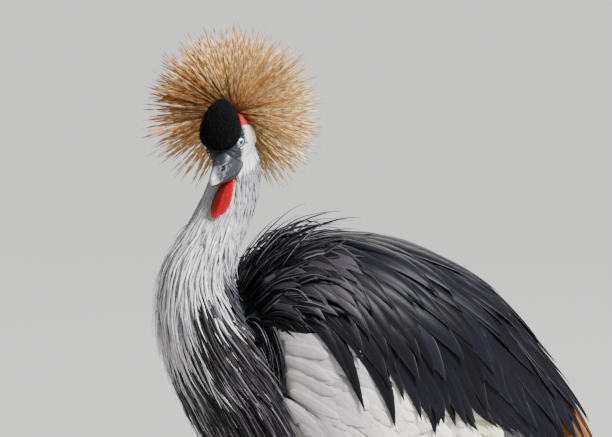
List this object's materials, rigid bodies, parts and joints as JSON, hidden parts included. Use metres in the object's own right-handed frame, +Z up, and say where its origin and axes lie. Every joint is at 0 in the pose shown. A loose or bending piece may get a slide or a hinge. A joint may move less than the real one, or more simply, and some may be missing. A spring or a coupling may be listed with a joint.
{
  "type": "grey crowned crane model",
  "caption": "Life-size still model of a grey crowned crane standing at rest, head turned to its left, with golden crest, breast plumes and folded wings.",
  "frame": {"origin": "on the floor under the middle of the bird's bounding box", "axes": "+Z up, -Y ahead of the body, +X the bird's left side"},
  "size_m": [0.2527, 0.6223, 0.9378],
  "materials": {
    "white_face": "short white velvety feathers of the cheek, with a red patch above",
    "velvet_cap": "dense black velvet plush",
    "bill_horn": "slate grey horn, worn paler along the ridge and at the tip",
    "pale_eye": "wet ice-blue iris round a black pupil",
    "golden_bristles": "stiff straw-gold bristles with dark hair tips",
    "red_skin": "bare scarlet skin, finely wrinkled, with a soft sheen",
    "grey_down": "pearl-grey plumage, streaked, slate towards the plume tips",
    "slate_plumes": "charcoal slate feathers with a faint sheen over creamy white, straw and chestnut ones",
    "black_quills": "black quills",
    "flank_plumes": "loose dark grey flank feathers",
    "black_scale": "black scaled leg skin, dusty in the creases",
    "claw_horn": "dull black horn"
  },
  "bodies": {
    "root": {"head": "white_face", "cap": "velvet_cap", "bill_upper": "bill_horn", "bill_lower": "bill_horn", "eye_left": "pale_eye", "eye_right": "pale_eye", "crest": "golden_bristles", "wattle": "red_skin", "neck_upper": "grey_down", "neck_lower": "grey_down", "torso": "slate_plumes", "wing_left": "slate_plumes", "wing_right": "slate_plumes", "tail": "black_quills", "thigh_left": "flank_plumes", "thigh_right": "flank_plumes", "shin_left": "black_scale", "shin_right": "black_scale", "tarsus_left": "black_scale", "tarsus_right": "black_scale", "foot_left": "black_scale", "foot_right": "black_scale", "claw_middle_left": "claw_horn", "claw_outer_left": "claw_horn", "claw_inner_left": "claw_horn", "claw_hind_left": "claw_horn", "claw_middle_right": "claw_horn", "claw_outer_right": "claw_horn", "claw_inner_right": "claw_horn", "claw_hind_right": "claw_horn"}
  },
  "joints": []
}
